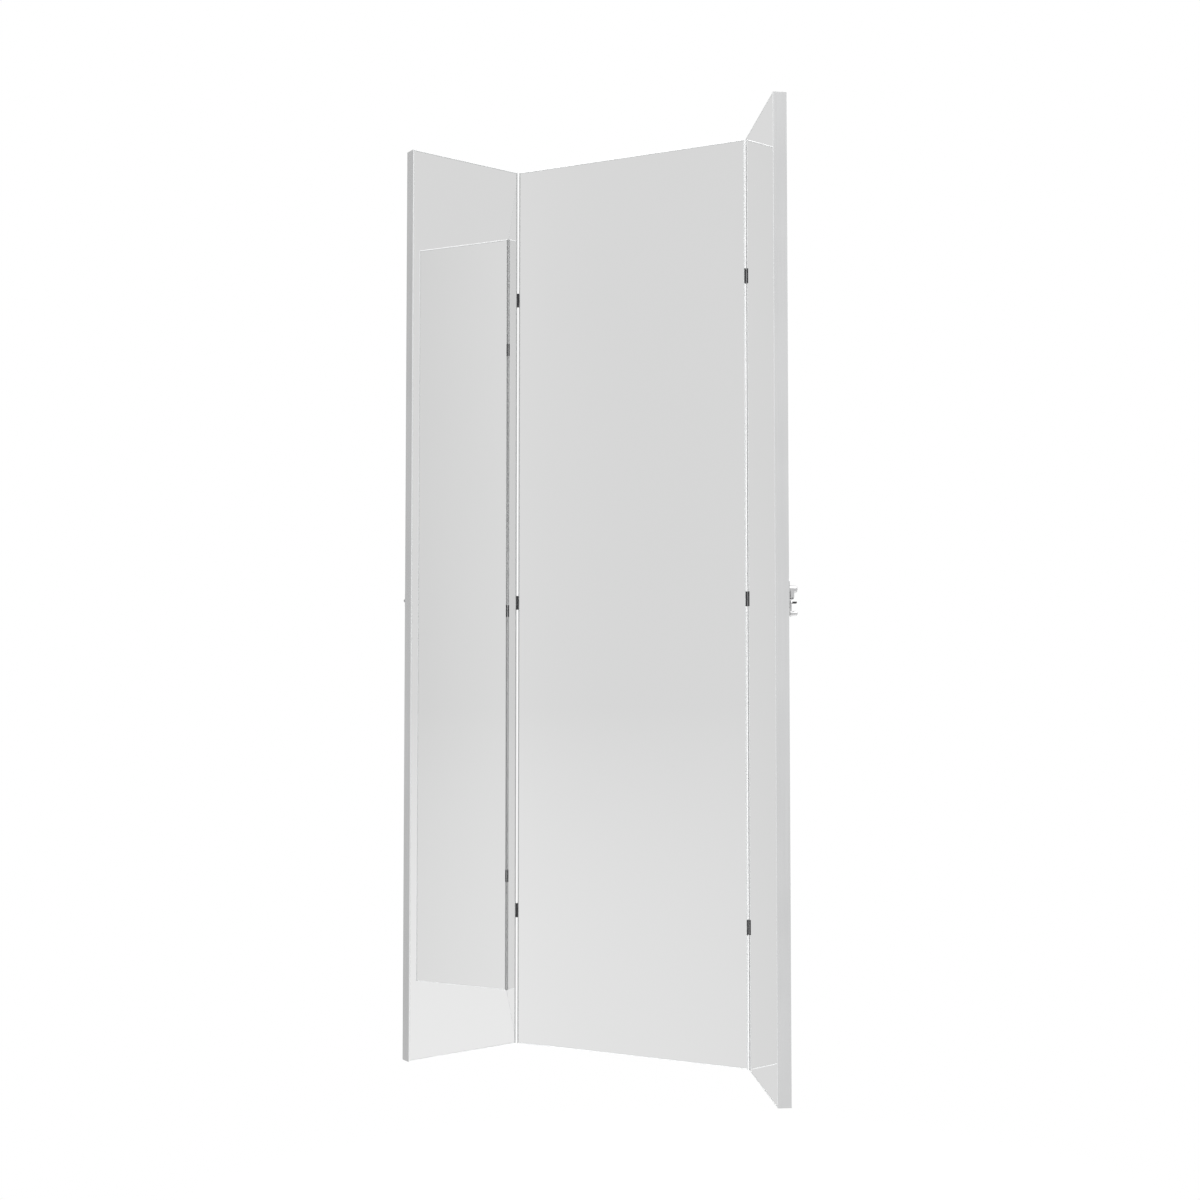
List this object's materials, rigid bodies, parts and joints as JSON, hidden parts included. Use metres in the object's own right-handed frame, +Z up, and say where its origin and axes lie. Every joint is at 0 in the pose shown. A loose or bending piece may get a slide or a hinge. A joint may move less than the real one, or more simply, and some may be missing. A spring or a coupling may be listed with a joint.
{
  "type": "pull-out closet mirror",
  "caption": "Tall three-part mirror on a telescopic slide: it pulls out and swivels, and its wings fold over the centre and latch.",
  "frame": {"origin": "middle of the cabinet rail's back face, half way between its screw holes", "axes": "+X away from the cabinet wall, -Y the way the mirror pulls out and faces, +Z up"},
  "size_m": [0.5412, 0.6491, 1.2],
  "materials": {
    "frame": "satin anodised",
    "mirror": "silvered float glass",
    "back_panel": "fine matt sheet",
    "inner_plastic": "moulded",
    "inner_metal": "mill finish",
    "hinge": "blackened",
    "screw": "zinc plated",
    "latch": "polished chrome",
    "slide": "zinc plated roll-formed sheet",
    "ball": "polished steel",
    "bracket": "zinc plated",
    "bumper": "matt",
    "bush": "natural nylon"
  },
  "bodies": {
    "cabinet_rail": {"cabinet_rail": "slide", "rail_bumper": "bumper"},
    "outer_cage": {"outer_cage": "slide", "outer_balls": "ball"},
    "middle_rail": {"middle_rail": "slide"},
    "inner_cage": {"inner_cage": "slide", "inner_balls": "ball"},
    "inner_rail": {"inner_rail": "slide", "slide_arm": "bracket", "arm_rivets": "screw", "swivel_bushes": "bush"},
    "centre_panel": {"centre_left_stile": "frame", "centre_right_stile": "frame", "centre_top_rail": "frame", "centre_bottom_rail": "frame", "centre_corner_keys": "inner_plastic", "centre_glass": "mirror", "centre_back": "back_panel", "centre_hinge_leaves": "hinge", "centre_hinge_blocks": "inner_metal", "centre_hinge_screws": "screw", "swivel_bracket": "bracket", "swivel_pin": "screw", "swivel_nut": "screw", "bracket_bolts": "screw", "bracket_nuts": "screw", "cross_bars": "inner_metal", "hinge_pins": "hinge"},
    "left_wing": {"left_hinge_stile": "frame", "left_free_stile": "frame", "left_top_rail": "frame", "left_bottom_rail": "frame", "left_corner_keys": "inner_plastic", "left_glass": "mirror", "left_back": "back_panel", "left_hinge_leaves": "hinge", "left_hinge_blocks": "inner_metal", "left_hinge_screws": "screw", "keeper_plate": "latch", "keeper_stud": "latch", "keeper_screws": "latch"},
    "right_wing": {"right_hinge_stile": "frame", "right_free_stile": "frame", "right_top_rail": "frame", "right_bottom_rail": "frame", "right_corner_keys": "inner_plastic", "right_glass": "mirror", "right_back": "back_panel", "right_hinge_leaves": "hinge", "right_hinge_blocks": "inner_metal", "right_hinge_screws": "screw", "latch_plate": "latch", "latch_post": "latch", "latch_washer": "screw", "latch_screws": "latch"},
    "latch_lever": {"latch_lever": "latch", "latch_peg": "latch"}
  },
  "joints": [
    {"name": "slide_out", "type": "slide", "parent": "cabinet_rail", "child": "middle_rail", "axis": [0, -1, 0], "range_m": [0, 0.225]},
    {"name": "inner_slide", "type": "slide", "parent": "middle_rail", "child": "inner_rail", "axis": [0, -1, 0], "range_m": [0, 0.225]},
    {"name": "outer_cage_roll", "type": "slide", "parent": "cabinet_rail", "child": "outer_cage", "axis": [0, -1, 0], "range_m": [0, 0.1125]},
    {"name": "inner_cage_roll", "type": "slide", "parent": "middle_rail", "child": "inner_cage", "axis": [0, -1, 0], "range_m": [0, 0.1125]},
    {"name": "swivel", "type": "hinge", "parent": "inner_rail", "child": "centre_panel", "pos_m": [0.00635, -0.24, 0], "axis": [0, 0, 1], "range_deg": [-90, 90]},
    {"name": "left_wing_fold", "type": "hinge", "parent": "centre_panel", "child": "left_wing", "pos_m": [-0.15915, -0.282, 0], "axis": [0, 0, 1], "range_deg": [-60, 120]},
    {"name": "right_wing_fold", "type": "hinge", "parent": "centre_panel", "child": "right_wing", "pos_m": [0.17185, -0.282, 0], "axis": [0, 0, -1], "range_deg": [-60, 120]},
    {"name": "latch_turn", "type": "hinge", "parent": "right_wing", "child": "latch_lever", "pos_m": [0.26704, -0.41087, 0.0046], "axis": [-0.866, -0.5, 0], "range_deg": [0, 60]}
  ],
  "couplings": [
    {"joint": "inner_slide", "follows": "slide_out", "ratio": 1},
    {"joint": "outer_cage_roll", "follows": "slide_out", "ratio": 0.5},
    {"joint": "inner_cage_roll", "follows": "slide_out", "ratio": 0.5}
  ]
}
